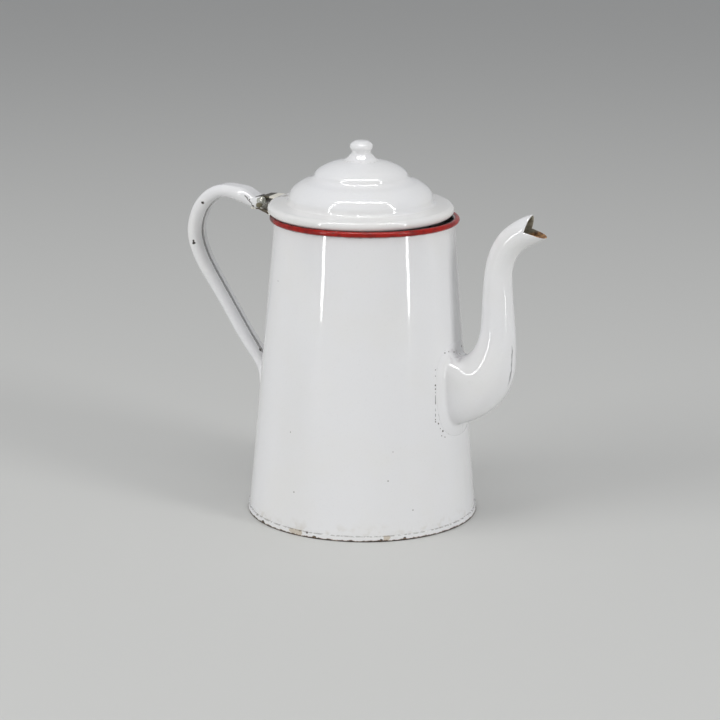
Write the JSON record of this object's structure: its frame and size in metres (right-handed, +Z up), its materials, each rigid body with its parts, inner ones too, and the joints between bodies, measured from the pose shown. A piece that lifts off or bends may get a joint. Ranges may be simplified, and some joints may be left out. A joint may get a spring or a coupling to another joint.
{
  "type": "enamel coffee pot",
  "caption": "Tapered enamelled coffee pot with a gooseneck spout, loop handle and hinged two-tier lid with a knob.",
  "frame": {"origin": "on the pot's axis, in the plane of the table under the base seam", "axes": "+Z up along the pot's axis, +X towards the spout, so the handle and hinge are at -X"},
  "size_m": [0.2154, 0.13, 0.2092],
  "materials": {
    "body_enamel": "glossy off-white vitreous enamel, brick red on the rolled rim, small chips",
    "base_enamel": "glossy off-white vitreous enamel, chipped and stained along the folded seam",
    "spout_enamel": "glossy off-white vitreous enamel, worn dark along the seam, rusty inside the mouth",
    "handle_enamel": "glossy off-white vitreous enamel, chipped along the edges, dark inside the seam",
    "bracket_enamel": "thin worn enamel over rusty steel",
    "pin_steel": "bare steel with the enamel rubbed off",
    "lid_enamel": "glossy off-white vitreous enamel",
    "knob_enamel": "glossy off-white vitreous enamel",
    "leaf_steel": "dark rusty steel with traces of enamel on its edges"
  },
  "bodies": {
    "pot": {"body_shell": "body_enamel", "base_pan": "base_enamel", "spout_left_half": "spout_enamel", "spout_right_half": "spout_enamel", "handle": "handle_enamel", "rim_bracket": "bracket_enamel", "hinge_pin": "pin_steel"},
    "lid": {"lid_shell": "lid_enamel", "lid_knob": "knob_enamel", "hinge_leaf": "leaf_steel"}
  },
  "joints": [
    {"name": "lid_hinge", "type": "hinge", "parent": "pot", "child": "lid", "pos_m": [-0.05981, 0, 0.1728], "axis": [0, -1, 0], "range_deg": [0, 126]}
  ]
}
